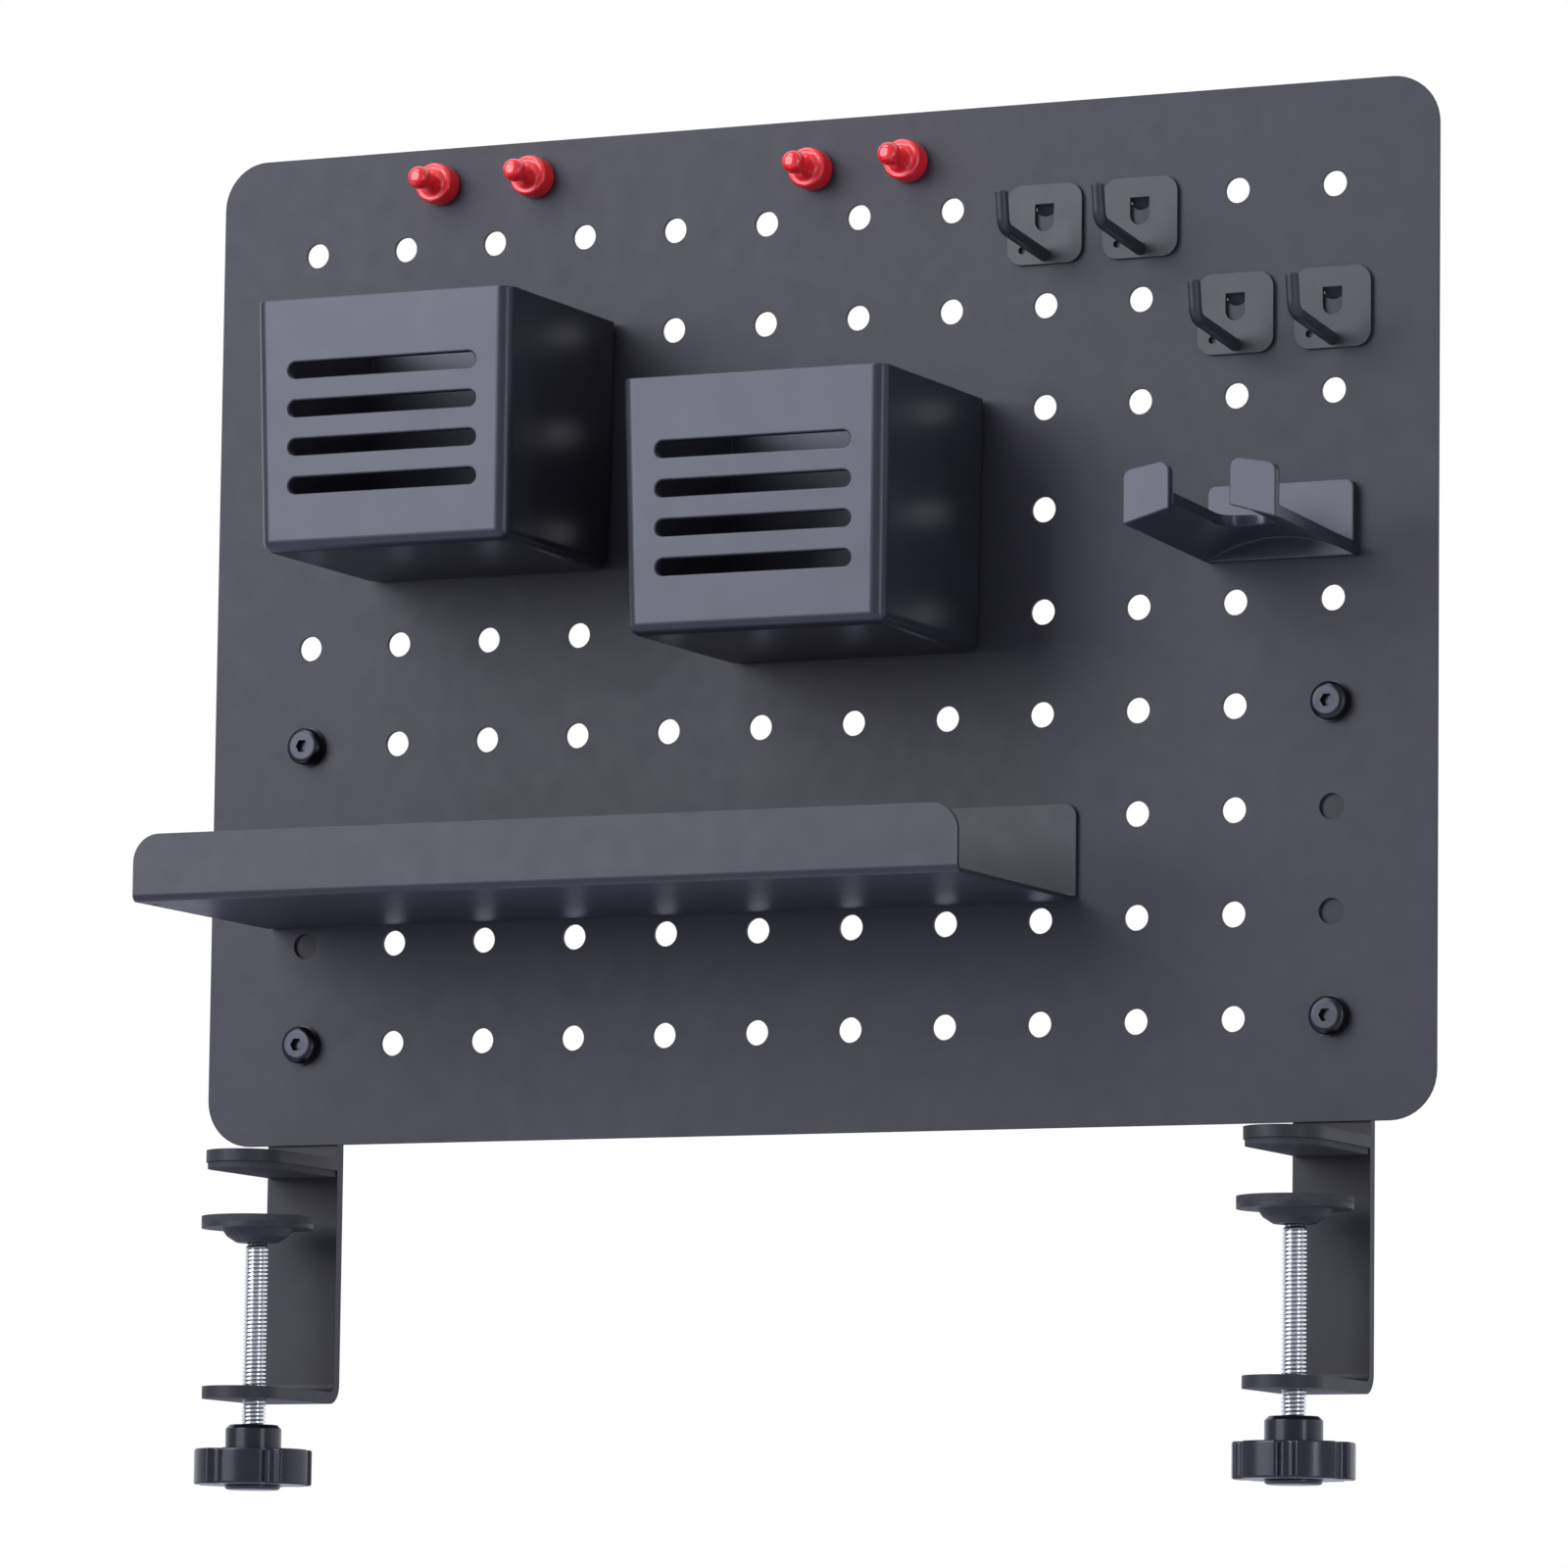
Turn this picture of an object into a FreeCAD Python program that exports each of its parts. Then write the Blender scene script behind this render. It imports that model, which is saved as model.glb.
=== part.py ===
"""Pegboard tool wall: a steel peg panel on two desk clamps, with bins, hooks, shelf, holder and magnets.

Frame, millimetres: origin midway between the clamps at the rear top edge of the desk, +X to the right,
+Y to the back, +Z up. The back of the panel lies at Y = 0 and the upper rubber pads rest on Z = 0.
"""
import FreeCAD, Part
import math
import os

doc = FreeCAD.newDocument("pegboard_tool_wall")
sheet = doc.addObject("Spreadsheet::Sheet", "dims")

COLUMNS = 12
ROWS = 9
SIDES = {"left": -1, "right": 1}

# alias, value in mm or degrees
DIMENSIONS = [
    ("pitch", 25.4),
    ("hole_dia", 6.35),
    ("panel_wide", 333.5),
    ("panel_tall", 254.0),
    ("panel_thick", 1.0),
    ("panel_low", 8.1),
    ("panel_corner", 12.0),
    ("lowest_row", 33.5),
    # desk clamps
    ("strip_wide", 20.0),
    ("strip_thick", 3.0),
    ("strip_top", 121.7),
    ("strip_low", -57.4),
    ("strip_bend", 2.0),
    ("arm_reach", 40.0),
    ("pad_thick", 1.6),
    ("pad_inset", 0.4),
    ("screw_y", -23.5),
    ("screw_rad", 3.0),
    ("screw_clearance", 0.05),
    ("screw_low", -76.4),
    ("screw_shoulder", -18.3),
    ("neck_rad", 2.3),
    ("button_rad", 3.6),
    ("button_low", -16.4),
    ("button_tall", 2.2),
    ("foot_rad", 14.0),
    ("foot_top", -11.5),
    ("foot_pad_thick", 1.8),
    ("foot_plate_thick", 1.2),
    ("cup_rad", 7.7),
    ("cup_flare", 1.3),
    ("cup_side_tall", 1.9),
    ("cup_dome_tall", 1.6),
    ("cup_floor_rad", 5.2),
    ("cup_round", 1.2),
    ("cup_cavity_rad", 4.1),
    ("cup_hole_rad", 2.8),
    ("cup_floor_thick", 1.0),
    # star knob
    ("knob_rad", 14.7),
    ("knob_low", -78.6),
    ("knob_tall", 8.9),
    ("knob_lobes", 6),
    ("groove_rad", 2.3),
    ("groove_reach", 15.2),
    ("lobe_round", 1.0),
    ("knob_edge", 0.5),
    ("hub_rad", 7.0),
    ("hub_tall", 6.1),
    ("hub_edge", 1.0),
    ("cap_rad", 7.0),
    ("cap_tall", 1.2),
    ("cap_edge", 1.0),
    ("knob_turn_left", 16.2),
    ("knob_turn_right", -15.4),
    # panel screws and washers
    ("head_rad", 4.75),
    ("head_tall", 2.75),
    ("head_round", 1.6),
    ("shank_rad", 2.5),
    ("socket_flats", 3.0),
    ("socket_deep", 1.8),
    ("washer_rad", 5.0),
    ("washer_bore", 2.65),
    ("washer_thick", 1.0),
    # what every accessory shares
    ("seat_gap", 0.1),
    ("sheet_thick", 1.0),
    ("tongue_wide", 5.7),
    ("tongue_long", 6.5),
    ("tongue_start_y", -1.7),
    ("tongue_start_z", 1.2),
    ("cutout_rad", 2.5),
    ("cutout_top", 0.2),
    ("cutout_low", 7.0),
    ("lug_wide", 4.4),
    ("lug_thick", 2.0),
    ("lug_long", 8.8),
    ("lug_start_y", -2.2),
    ("lug_start_z", 1.7),
    # bins
    ("bin_wide", 71.0),
    ("bin_deep", 61.4),
    ("bin_tall", 62.9),
    ("bin_side_draft", 1.2),
    ("bin_front_draft", 2.4),
    ("bin_wall", 2.0),
    ("bin_corner", 3.5),
    ("bin_rim_rise", 2.65),
    ("bin_edge", 0.4),
    ("slot_long", 52.0),
    ("slot_tall", 4.1),
    ("slot_step", 9.6),
    ("slot_first", 17.9),
    ("slot_count", 4),
    # shelf
    ("shelf_wide", 222.8),
    ("shelf_front", 73.5),
    ("shelf_low", 20.9),
    ("shelf_flange_rise", 3.1),
    ("shelf_lip_tall", 16.7),
    ("shelf_bend", 1.8),
    ("lip_corner", 7.0),
    ("flange_corner", 3.2),
    ("shelf_vent_rad", 1.15),
    ("shelf_vent_side", 2.5),
    ("shelf_vent_front", 8.0),
    # hooks
    ("plate_side", 20.0),
    ("plate_rise", 4.8),
    ("plate_corner", 4.0),
    ("pinhole_rad", 0.9),
    ("pinhole_x", -6.0),
    ("pinhole_z", -11.5),
    ("rod_rad", 1.6),
    ("rod_start_z", -13.0),
    ("rod_climb", 6.0),
    ("rod_bend", 3.2),
    ("rod_lean", 80.0),
    ("rod_run", 25.3),
    ("rod_rise", 9.2),
    ("rod_chamfer", 0.5),
    # headphone holder
    ("holder_wide", 38.0),
    ("holder_plate_thick", 2.5),
    ("holder_plate_rise", 2.9),
    ("holder_plate_tall", 18.5),
    ("holder_corner", 2.0),
    ("arch_rad", 38.6),
    ("arch_thick", 2.6),
    ("arch_crown", -10.4),
    ("arch_tilt", 2.4),
    ("arch_front", 55.5),
    ("notch_rad", 7.3),
    ("notch_end", 19.0),
    ("tab_inner", 7.8),
    ("tab_outer", 19.5),
    ("tab_thick", 2.4),
    ("tab_inner_low", -10.1),
    ("tab_outer_low", -13.5),
    ("tab_inner_top", 1.4),
    ("tab_outer_top", -0.6),
    ("tab_corner", 2.2),
    # push-pin magnets
    ("disc_rad", 4.0),
    ("disc_thick", 2.0),
]

# radius and distance from the panel of each ring of a push-pin magnet
PIN_RINGS = [(5.3, 0.0), (5.0, 5.2), (2.8, 6.9), (2.2, 8.8), (2.9, 11.3), (2.9, 13.2), (1.4, 14.8)]

for line, (alias, value) in enumerate(DIMENSIONS, start=1):
    sheet.set(f"A{line}", alias)
    sheet.set(f"B{line}", str(value))
    sheet.setAlias(f"B{line}", alias)
for ring, (radius, distance) in enumerate(PIN_RINGS):
    for cell, alias, value in (("C", "pin_rad", radius), ("D", "pin_out", distance)):
        sheet.set(f"{cell}{ring + 1}", str(value))
        sheet.setAlias(f"{cell}{ring + 1}", f"{alias}_{'abcdefg'[ring]}")
doc.recompute()

X_AXIS = FreeCAD.Vector(1, 0, 0)
Y_AXIS = FreeCAD.Vector(0, 1, 0)
Z_AXIS = FreeCAD.Vector(0, 0, 1)
ALONG_Y = FreeCAD.Rotation(X_AXIS, -90)      # turns +Z to +Y
TOWARDS_FRONT = FreeCAD.Rotation(X_AXIS, 90)  # turns +Z to -Y, and +Y to +Z
DOWN_BACK = FreeCAD.Rotation(X_AXIS, -45)    # turns +Y to the slope of a tongue

parts = []


def place(made, position, rotation=None):
    """Binds an object's position to expressions and turns it."""
    if rotation is not None:
        made.Placement = FreeCAD.Placement(FreeCAD.Vector(), rotation)
    for axis, text in zip("xyz", position):
        if text != "0":
            made.setExpression(f"Placement.Base.{axis}", text)


def new_body(name, position=("0", "0", "0"), rotation=None, keep=True):
    """Starts a sub-part at its place; keep=False makes a member of a group instead."""
    made = doc.addObject("PartDesign::Body", name)
    made.Label = name
    place(made, position, rotation)
    if keep:
        parts.append(made)
    return made


def solid(owner, kind, name, sizes, position=("0", "0", "0"), rotation=None):
    """Adds a PartDesign primitive whose sizes and place follow the sheet."""
    made = owner.newObject(f"PartDesign::{kind}", f"{owner.Name}_{name}")
    for size, text in sizes.items():
        made.setExpression(size, text)
    place(made, position, rotation)
    return made


def box(owner, kind, name, low, sizes, rotation=None):
    """Adds or cuts a box from its low corner and its sizes along X, Y and Z."""
    return solid(owner, f"{kind}Box", name, dict(zip(("Length", "Width", "Height"), sizes)), low, rotation)


def cylinder(owner, kind, name, radius, height, base, rotation=None):
    """Adds or cuts a cylinder that starts at base."""
    return solid(owner, f"{kind}Cylinder", name, {"Radius": radius, "Height": height}, base, rotation)


def cone(owner, name, radii, height, base, rotation=None):
    """Adds a cone that starts at base with the first radius."""
    sizes = {"Radius1": radii[0], "Radius2": radii[1], "Height": height}
    return solid(owner, "AdditiveCone", name, sizes, base, rotation)


def dress(owner, kind, name, size, chosen):
    """Fillets or chamfers the edges of the body so far for which chosen(edge) is true."""
    doc.recompute()
    base = owner.Tip
    if "Invalid" in base.State or base.Shape.isNull():
        raise RuntimeError(f"{base.Name}: {base.State}")
    edges = [f"Edge{place + 1}" for place, edge in enumerate(base.Shape.Edges) if chosen(edge)]
    if not edges:
        raise RuntimeError(f"{owner.Name}: no edge for {name}")
    made = owner.newObject(f"PartDesign::{kind}", f"{owner.Name}_{name}")
    made.Base = (base, edges)
    made.setExpression("Radius" if kind == "Fillet" else "Size", size)
    return made


def runs_along(edge, axis, at=None, tolerance=0.05):
    """True for an edge parallel to an axis whose middle has the given coordinates."""
    extent = edge.BoundBox
    lengths = {"x": extent.XLength, "y": extent.YLength, "z": extent.ZLength}
    middle = {"x": extent.Center.x, "y": extent.Center.y, "z": extent.Center.z}
    if any(lengths[other] > tolerance for other in "xyz" if other != axis) or lengths[axis] < tolerance:
        return False
    return all(abs(middle[other] - value) < tolerance for other, value in (at or {}).items())


def is_ring(edge, radius, at, tolerance=0.05):
    """True for a full circle of this radius whose centre has the given coordinates."""
    curve = edge.Curve
    if not isinstance(curve, Part.Circle) or abs(curve.Radius - radius) > tolerance:
        return False
    centre = {"x": curve.Center.x, "y": curve.Center.y, "z": curve.Center.z}
    return all(abs(centre[axis] - value) < tolerance for axis, value in at.items())


def origin_feature(owner, role):
    """Finds an origin plane or axis of a body."""
    return next(found for found in owner.Origin.OriginFeatures if found.Role == role)


def column_x(column):
    return f"dims.pitch * {column - (COLUMNS - 1) / 2}"


def row_z(row):
    return f"dims.lowest_row + dims.pitch * {ROWS - 1 - row}"


def build_panel():
    """Steel sheet with rounded corners and a grid of peg holes."""
    panel = new_body("pegboard_panel")
    box(panel, "Additive", "sheet", ("-dims.panel_wide / 2", "-dims.panel_thick", "dims.panel_low"),
        ("dims.panel_wide", "dims.panel_thick", "dims.panel_tall"))
    dress(panel, "Fillet", "corners", "dims.panel_corner", lambda edge: runs_along(edge, "y"))
    first = cylinder(panel, "Subtractive", "hole", "dims.hole_dia / 2", "dims.panel_thick * 3",
                     (column_x(0), "-dims.panel_thick * 2", row_z(ROWS - 1)), ALONG_Y)
    grid = panel.newObject("PartDesign::MultiTransform", "pegboard_panel_grid")
    grid.Originals = [first]
    steps = []
    for axis, count in (("X_Axis", COLUMNS), ("Z_Axis", ROWS)):
        step = panel.newObject("PartDesign::LinearPattern", f"pegboard_panel_{axis}")
        step.Direction = (origin_feature(panel, axis), [""])
        step.Mode = "Spacing"
        step.setExpression("Offset", "dims.pitch")
        step.Occurrences = count
        steps.append(step)
    grid.Transformations = steps
    panel.Tip = grid


def round_tongue(owner, low_z, thick, inset):
    """A flat tongue that runs forward from the strip and ends in a full round."""
    half = f"(dims.strip_wide / 2 - {inset})"
    centre_y = "-(dims.arm_reach - dims.strip_wide / 2)"
    box(owner, "Additive", "flat", (f"-{half}", centre_y, low_z),
        (f"{half} * 2", f"dims.arm_reach - dims.strip_wide / 2 - {inset}", thick))
    cylinder(owner, "Additive", "round", half, thick, ("0", centre_y, low_z))


def build_clamp(side):
    """One desk clamp: strip with lower arm, welded upper arm, pads, screw, foot, knob and cap."""
    middle = f"{SIDES[side]} * dims.pitch * {(COLUMNS - 1) / 2}"
    foot_axis = (middle, "dims.screw_y", "0")

    bracket = new_body(f"clamp_bracket_{side}", (middle, "0", "0"))
    round_tongue(bracket, "dims.strip_low", "dims.strip_thick", "0")
    box(bracket, "Additive", "strip", ("-dims.strip_wide / 2", "0", "dims.strip_low"),
        ("dims.strip_wide", "dims.strip_thick", "dims.strip_top - dims.strip_low"))
    inner = {"y": 0, "z": sheet.strip_low + sheet.strip_thick}
    outer = {"y": sheet.strip_thick, "z": sheet.strip_low}
    dress(bracket, "Fillet", "inner_bend", "dims.strip_bend", lambda edge: runs_along(edge, "x", inner))
    dress(bracket, "Fillet", "outer_bend", "dims.strip_bend + dims.strip_thick",
          lambda edge: runs_along(edge, "x", outer))
    cylinder(bracket, "Subtractive", "thread", "dims.screw_rad + dims.screw_clearance",
             "dims.strip_thick * 3", ("0", "dims.screw_y", "dims.strip_low - dims.strip_thick"))
    for name, row in (("upper_tap", 5), ("lower_tap", 8)):
        cylinder(bracket, "Subtractive", name, "dims.shank_rad", "dims.strip_thick * 3",
                 ("0", "-dims.strip_thick", row_z(row)), ALONG_Y)

    arm = new_body(f"upper_arm_{side}", (middle, "0", "0"))
    round_tongue(arm, "dims.pad_thick", "dims.strip_thick", "0")

    pad = new_body(f"upper_pad_{side}", (middle, "0", "0"))
    round_tongue(pad, "0", "dims.pad_thick", "dims.pad_inset")

    foot_pad = new_body(f"pressure_pad_{side}", foot_axis)
    cylinder(foot_pad, "Additive", "disc", "dims.foot_rad", "dims.foot_pad_thick",
             ("0", "0", "dims.foot_top - dims.foot_pad_thick"))

    build_foot(side, foot_axis)
    build_screw(side, foot_axis)
    build_knob(side, foot_axis)


def build_foot(side, foot_axis):
    """Round steel foot with a cup underneath that is crimped over the screw's button."""
    foot = new_body(f"pressure_plate_{side}", foot_axis)
    plate_low = "dims.foot_top - dims.foot_pad_thick - dims.foot_plate_thick"
    cup_low = f"{plate_low} - dims.cup_side_tall - dims.cup_dome_tall"
    cylinder(foot, "Additive", "plate", "dims.foot_rad", "dims.foot_plate_thick", ("0", "0", plate_low))
    cone(foot, "cup", ("dims.cup_rad", "dims.cup_rad + dims.cup_flare"), "dims.cup_side_tall",
         ("0", "0", f"{plate_low} - dims.cup_side_tall"))
    cone(foot, "dome", ("dims.cup_floor_rad", "dims.cup_rad"), "dims.cup_dome_tall", ("0", "0", cup_low))
    floor_z = sheet.foot_top - sheet.foot_pad_thick - sheet.foot_plate_thick - sheet.cup_side_tall - sheet.cup_dome_tall
    dress(foot, "Fillet", "cup_edge", "dims.cup_round",
          lambda edge: is_ring(edge, sheet.cup_floor_rad, {"z": floor_z})
          or is_ring(edge, sheet.cup_rad, {"z": floor_z + sheet.cup_dome_tall}))
    cylinder(foot, "Subtractive", "cavity", "dims.cup_cavity_rad", "dims.button_tall * 3",
             ("0", "0", f"{cup_low} + dims.cup_floor_thick"))
    cylinder(foot, "Subtractive", "mouth", "dims.cup_hole_rad", "dims.button_tall * 3",
             ("0", "0", f"{cup_low} - dims.cup_floor_thick"))


def build_screw(side, foot_axis):
    """Clamp screw at its thread's major diameter, with a neck and a button at the top."""
    screw = new_body(f"clamp_screw_{side}", foot_axis)
    cylinder(screw, "Additive", "thread", "dims.screw_rad", "dims.screw_shoulder - dims.screw_low",
             ("0", "0", "dims.screw_low"))
    cylinder(screw, "Additive", "neck", "dims.neck_rad", "dims.button_low - dims.screw_shoulder",
             ("0", "0", "dims.screw_shoulder"))
    cylinder(screw, "Additive", "button", "dims.button_rad", "dims.button_tall", ("0", "0", "dims.button_low"))


def build_knob(side, foot_axis):
    """Six-lobed star knob with its hub, blind bore and plug."""
    knob = new_body(f"knob_{side}", foot_axis)
    cylinder(knob, "Additive", "star", "dims.knob_rad", "dims.knob_tall", ("0", "0", "dims.knob_low"))
    groove = cylinder(knob, "Subtractive", "groove", "dims.groove_rad", "dims.knob_tall * 2",
                      (f"dims.groove_reach * cos(dims.knob_turn_{side})",
                       f"dims.groove_reach * sin(dims.knob_turn_{side})",
                       "dims.knob_low - dims.knob_tall / 2"))
    lobes = knob.newObject("PartDesign::PolarPattern", f"knob_{side}_lobes")
    lobes.Originals = [groove]
    lobes.Axis = (origin_feature(knob, "Z_Axis"), [""])
    lobes.Angle = 360
    lobes.setExpression("Occurrences", "dims.knob_lobes")
    knob.Tip = lobes
    dress(knob, "Fillet", "lobe_sides", "dims.lobe_round", lambda edge: runs_along(edge, "z"))
    levels = (sheet.knob_low, sheet.knob_low + sheet.knob_tall)
    dress(knob, "Fillet", "edges", "dims.knob_edge",
          lambda edge: edge.BoundBox.ZLength < 0.01 and min(abs(edge.BoundBox.ZMin - z) for z in levels) < 0.01)
    cylinder(knob, "Additive", "hub", "dims.hub_rad", "dims.hub_tall",
             ("0", "0", "dims.knob_low + dims.knob_tall"))
    hub_top = sheet.knob_low + sheet.knob_tall + sheet.hub_tall
    dress(knob, "Chamfer", "hub_edge", "dims.hub_edge", lambda edge: is_ring(edge, sheet.hub_rad, {"z": hub_top}))
    cylinder(knob, "Subtractive", "bore", "dims.screw_rad", "dims.knob_tall * 3", ("0", "0", "dims.screw_low"))

    cap = new_body(f"knob_cap_{side}", foot_axis)
    cylinder(cap, "Additive", "plug", "dims.cap_rad", "dims.cap_tall", ("0", "0", "dims.knob_low - dims.cap_tall"))
    cap_low = sheet.knob_low - sheet.cap_tall
    dress(cap, "Fillet", "edge", "dims.cap_edge", lambda edge: is_ring(edge, sheet.cap_rad, {"z": cap_low}))


def build_fasteners():
    """Four button-head screws and washers that hold the panel on the clamp strips."""
    screws = []
    washers = []
    for side, sign in SIDES.items():
        for row in (5, 8):
            spot = (f"{sign} * dims.pitch * {(COLUMNS - 1) / 2}", "0", row_z(row))
            screws.append(panel_screw(f"panel_screw_{side}_{row}", spot))
            washers.append(panel_washer(f"panel_washer_{side}_{row}", spot))
    for name, members in (("panel_screws", screws), ("panel_washers", washers)):
        group = doc.addObject("Part::Compound", name)
        group.Label = name
        group.Links = members
        parts.append(group)


def panel_screw(name, spot):
    screw = new_body(name, spot, keep=False)
    under_head = "-dims.panel_thick - dims.washer_thick"
    cylinder(screw, "Additive", "head", "dims.head_rad", "dims.head_tall", ("0", under_head, "0"), TOWARDS_FRONT)
    face_y = -sheet.panel_thick - sheet.washer_thick - sheet.head_tall
    dress(screw, "Fillet", "dome", "dims.head_round", lambda edge: is_ring(edge, sheet.head_rad, {"y": face_y}))
    cylinder(screw, "Additive", "shank", "dims.shank_rad",
             "dims.washer_thick + dims.panel_thick + dims.strip_thick", ("0", under_head, "0"), ALONG_Y)
    solid(screw, "SubtractivePrism", "socket",
          {"Circumradius": "dims.socket_flats / sqrt(3)", "Height": "dims.socket_deep * 2"},
          ("0", f"{under_head} - dims.head_tall + dims.socket_deep", "0"), TOWARDS_FRONT)
    return screw


def panel_washer(name, spot):
    washer = new_body(name, spot, keep=False)
    front = "-dims.panel_thick - dims.washer_thick"
    cylinder(washer, "Additive", "disc", "dims.washer_rad", "dims.washer_thick", ("0", front, "0"), ALONG_Y)
    cylinder(washer, "Subtractive", "bore", "dims.washer_bore", "dims.washer_thick * 3",
             ("0", f"{front} - dims.washer_thick", "0"), ALONG_Y)
    return washer


def wedge_sizes(inset, floor):
    """Sizes of the bin's tapered block, drawn in on every wall by inset and standing on floor."""
    return {
        "Ymin": f"-dims.bin_tall + {floor}",
        "Ymax": "0" if inset == "0" else inset,
        "Xmin": f"-dims.bin_wide / 2 + dims.bin_side_draft + {inset}",
        "Xmax": f"dims.bin_wide / 2 - dims.bin_side_draft - {inset}",
        "X2min": f"-dims.bin_wide / 2 + {inset}",
        "X2max": f"dims.bin_wide / 2 - {inset}",
        "Zmin": inset,
        "Zmax": f"dims.bin_deep - dims.bin_front_draft - {inset}",
        "Z2min": inset,
        "Z2max": f"dims.bin_deep - {inset}",
    }


def add_lug(owner, name, x, back_y, hole_z):
    """Slanted lug that drops through a peg hole and hooks down behind the panel."""
    reach = "dims.lug_thick / 2 * cos(45)"
    box(owner, "Additive", name,
        (f"{x} - dims.lug_wide / 2", f"dims.lug_start_y - {reach} - {back_y}",
         f"dims.lug_start_z - {reach} + {hole_z}"),
        ("dims.lug_wide", "dims.lug_long", "dims.lug_thick"), DOWN_BACK)


def build_bin(name, column, row):
    """Tapered open bin with slots in its front and two lugs; its own origin is the rim's back edge."""
    back = "-dims.panel_thick - dims.seat_gap"
    tub = new_body(name, (column_x(column), back, f"{row_z(row)} + dims.bin_rim_rise"))
    solid(tub, "AdditiveWedge", "block", wedge_sizes("0", "0"), rotation=TOWARDS_FRONT)
    dress(tub, "Fillet", "corners", "dims.bin_corner", lambda edge: edge.BoundBox.ZLength > sheet.bin_tall / 2)
    dress(tub, "Fillet", "base", "dims.bin_corner - 0.5",
          lambda edge: edge.BoundBox.ZMax < -sheet.bin_tall + 0.01)
    solid(tub, "SubtractiveWedge", "hollow", wedge_sizes("dims.bin_wall", "dims.bin_wall"), rotation=TOWARDS_FRONT)
    dress(tub, "Fillet", "rim", "dims.bin_edge", lambda edge: edge.BoundBox.ZMin > -0.01)
    half = "(dims.slot_long - dims.slot_tall) / 2"
    for slot in range(int(sheet.slot_count)):
        level = f"-dims.slot_first - {slot} * dims.slot_step"
        box(tub, "Subtractive", f"slot_{slot}",
            (f"-{half}", "-dims.bin_deep * 1.2", f"{level} - dims.slot_tall / 2"),
            (f"{half} * 2", "dims.bin_deep * 0.5", "dims.slot_tall"))
        for end, sign in SIDES.items():
            cylinder(tub, "Subtractive", f"slot_{slot}_{end}", "dims.slot_tall / 2", "dims.bin_deep * 0.5",
                     (f"{sign} * {half}", "-dims.bin_deep * 0.7", level), TOWARDS_FRONT)
    dress(tub, "Fillet", "slot_edges", "dims.bin_edge", on_slot_front)
    for end, sign in SIDES.items():
        add_lug(tub, f"lug_{end}", f"{sign} * dims.pitch", f"({back})", "-dims.bin_rim_rise")


def on_slot_front(edge):
    """True for the edges of a bin's slots that lie on the outside of its tapered front."""
    middle = edge.BoundBox.Center
    front = -sheet.bin_deep - middle.z / sheet.bin_tall * sheet.bin_front_draft
    within = abs(middle.x) < sheet.slot_long / 2 and middle.z > -sheet.bin_tall + sheet.bin_corner
    return within and middle.z < -sheet.bin_corner and middle.y < front + sheet.bin_wall / 2


def add_tongue(owner, name, x, plate_back="dims.panel_thick + dims.seat_gap"):
    """Punched tongue bent back and down at 45 degrees, above the D-shaped hole it leaves."""
    depth = "dims.sheet_thick * 3"
    front = f"-({plate_back}) - dims.sheet_thick * 2"
    round_z = "-dims.cutout_low + dims.cutout_rad"
    box(owner, "Subtractive", f"{name}_cut", (f"{x} - dims.cutout_rad", front, round_z),
        ("dims.cutout_rad * 2", depth, "dims.cutout_low - dims.cutout_rad - dims.cutout_top"))
    cylinder(owner, "Subtractive", f"{name}_end", "dims.cutout_rad", depth, (x, front, round_z), ALONG_Y)
    reach = "dims.sheet_thick / 2 * cos(45)"
    box(owner, "Additive", name,
        (f"{x} - dims.tongue_wide / 2", f"dims.tongue_start_y - {reach}", f"dims.tongue_start_z - {reach}"),
        ("dims.tongue_wide", "dims.tongue_long", "dims.sheet_thick"), DOWN_BACK)


def build_shelf():
    """Folded shelf with back flange, front lip and two tongues; its own origin is a peg hole's height."""
    shelf = new_body("shelf", (column_x(4), "0", row_z(6)))
    half = "dims.shelf_wide / 2"
    back = "(dims.panel_thick + dims.seat_gap)"
    box(shelf, "Additive", "tray", (f"-{half}", "-dims.shelf_front", "-dims.shelf_low"),
        ("dims.shelf_wide", f"dims.shelf_front - {back}", "dims.sheet_thick"))
    box(shelf, "Additive", "flange", (f"-{half}", f"-{back} - dims.sheet_thick", "-dims.shelf_low"),
        ("dims.shelf_wide", "dims.sheet_thick", "dims.shelf_low + dims.shelf_flange_rise"))
    box(shelf, "Additive", "lip", (f"-{half}", "-dims.shelf_front", "-dims.shelf_low"),
        ("dims.shelf_wide", "dims.sheet_thick", "dims.shelf_lip_tall"))
    side = sheet.shelf_wide / 2
    lip_top = -sheet.shelf_low + sheet.shelf_lip_tall
    dress(shelf, "Fillet", "lip_corners", "dims.lip_corner",
          lambda edge: runs_along(edge, "y", {"z": lip_top}) and abs(edge.BoundBox.Center.x) > side - 1)
    dress(shelf, "Fillet", "flange_corners", "dims.flange_corner",
          lambda edge: runs_along(edge, "y", {"z": sheet.shelf_flange_rise}))
    front_low = {"y": -sheet.shelf_front, "z": -sheet.shelf_low}
    back_low = {"y": -sheet.panel_thick - sheet.seat_gap, "z": -sheet.shelf_low}
    dress(shelf, "Fillet", "outer_bends", "dims.shelf_bend",
          lambda edge: runs_along(edge, "x", front_low) or runs_along(edge, "x", back_low))
    tray_top = -sheet.shelf_low + sheet.sheet_thick
    dress(shelf, "Fillet", "inner_bends", "dims.shelf_bend - dims.sheet_thick",
          lambda edge: runs_along(edge, "x", {"z": tray_top}))
    cylinder(shelf, "Subtractive", "vent", "dims.shelf_vent_rad", "dims.sheet_thick * 3",
             (f"-{half} + dims.shelf_vent_side", "-dims.shelf_front + dims.shelf_vent_front",
              "-dims.shelf_low - dims.sheet_thick"))
    for end, sign in SIDES.items():
        add_tongue(shelf, f"tongue_{end}", f"{sign} * 2 * dims.pitch")


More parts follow.
